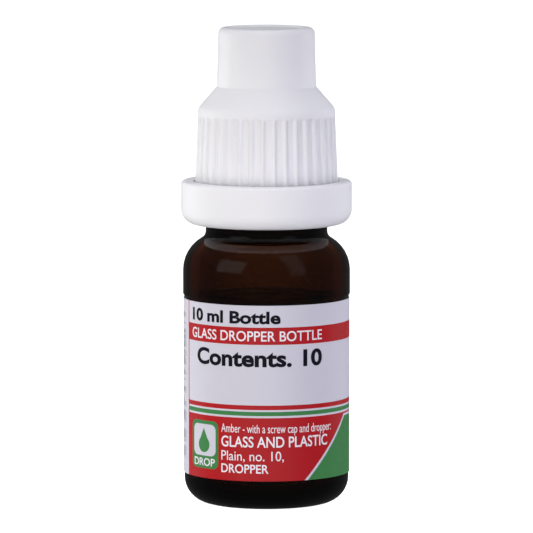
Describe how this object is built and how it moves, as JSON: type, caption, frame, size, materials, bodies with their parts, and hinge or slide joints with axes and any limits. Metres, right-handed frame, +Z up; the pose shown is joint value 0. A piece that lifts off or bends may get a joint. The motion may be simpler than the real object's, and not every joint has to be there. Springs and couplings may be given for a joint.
{
  "type": "dropper bottle",
  "caption": "Amber glass dropper bottle with a wrap-round paper label, a pressed-in dropper nozzle, a tamper ring and a tall ribbed white screw cap.",
  "frame": {"origin": "centre of the flat ring that the bottle stands on", "axes": "+Z up along the bottle's axis, -Y the front where the middle of the label faces, +X to the right seen from the front"},
  "size_m": [0.0256, 0.0256, 0.0716],
  "materials": {
    "amber_glass": "smooth dark amber glass, glossy",
    "clear_liquid": "clear colourless liquid",
    "label_paper": "coated white label paper printed in red, green and black",
    "dropper_plastic": "soft natural white plastic, slightly waxy",
    "cap_plastic": "moulded white plastic, satin",
    "seal_foam": "soft pale sealing disc, matt"
  },
  "bodies": {
    "bottle": {"glass_bottle": "amber_glass", "liquid": "clear_liquid", "paper_label": "label_paper", "dropper_plug": "dropper_plastic", "dropper_nozzle": "dropper_plastic"},
    "ring": {"tamper_ring": "cap_plastic"},
    "cap": {"screw_cap": "cap_plastic", "cap_seal": "seal_foam"}
  },
  "joints": [
    {"name": "cap_turn", "type": "hinge", "parent": "bottle", "child": "ring", "pos_m": [0, 0, 0.0453], "axis": [0, 0, 1], "range_deg": [0, 2880]},
    {"name": "cap_lift", "type": "slide", "parent": "ring", "child": "cap", "axis": [0, 0, 1], "range_m": [0, 0.024]}
  ],
  "couplings": [
    {"joint": "cap_lift", "follows": "cap_turn", "m_per_rad": 0.00047746}
  ]
}
